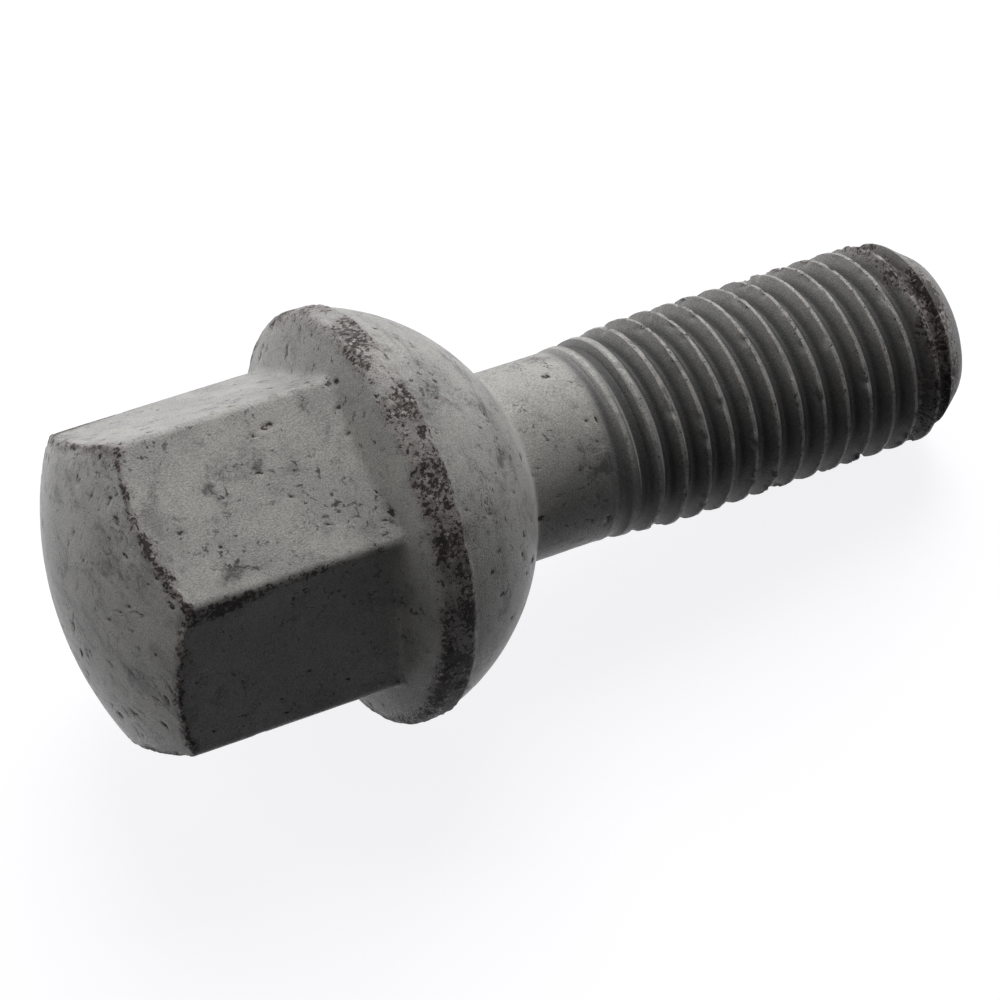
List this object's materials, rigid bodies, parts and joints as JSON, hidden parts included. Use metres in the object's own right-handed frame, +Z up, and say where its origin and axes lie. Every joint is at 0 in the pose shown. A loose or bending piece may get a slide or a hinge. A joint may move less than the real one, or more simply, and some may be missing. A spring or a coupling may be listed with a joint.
{
  "type": "wheel bolt",
  "caption": "Wheel bolt with a domed hexagon head, a collar with a ball seat, a plain shank and a fine right-hand thread, for holding a road wheel to its hub.",
  "frame": {"origin": "middle of the bolt's bounding box, on the surface that it lies on", "axes": "+Z up; +X from the head towards the tip, which lies lower, with the bolt's axis 9.8 degrees below +X; +Y across the bolt"},
  "size_m": [0.0534, 0.0234, 0.0232],
  "materials": {
    "coated_steel": "matt grey zinc-flake coat with scuffs, dark specks and a worn brown-black band round the rim"
  },
  "bodies": {
    "root": {"wheel_bolt": "coated_steel"}
  },
  "joints": []
}
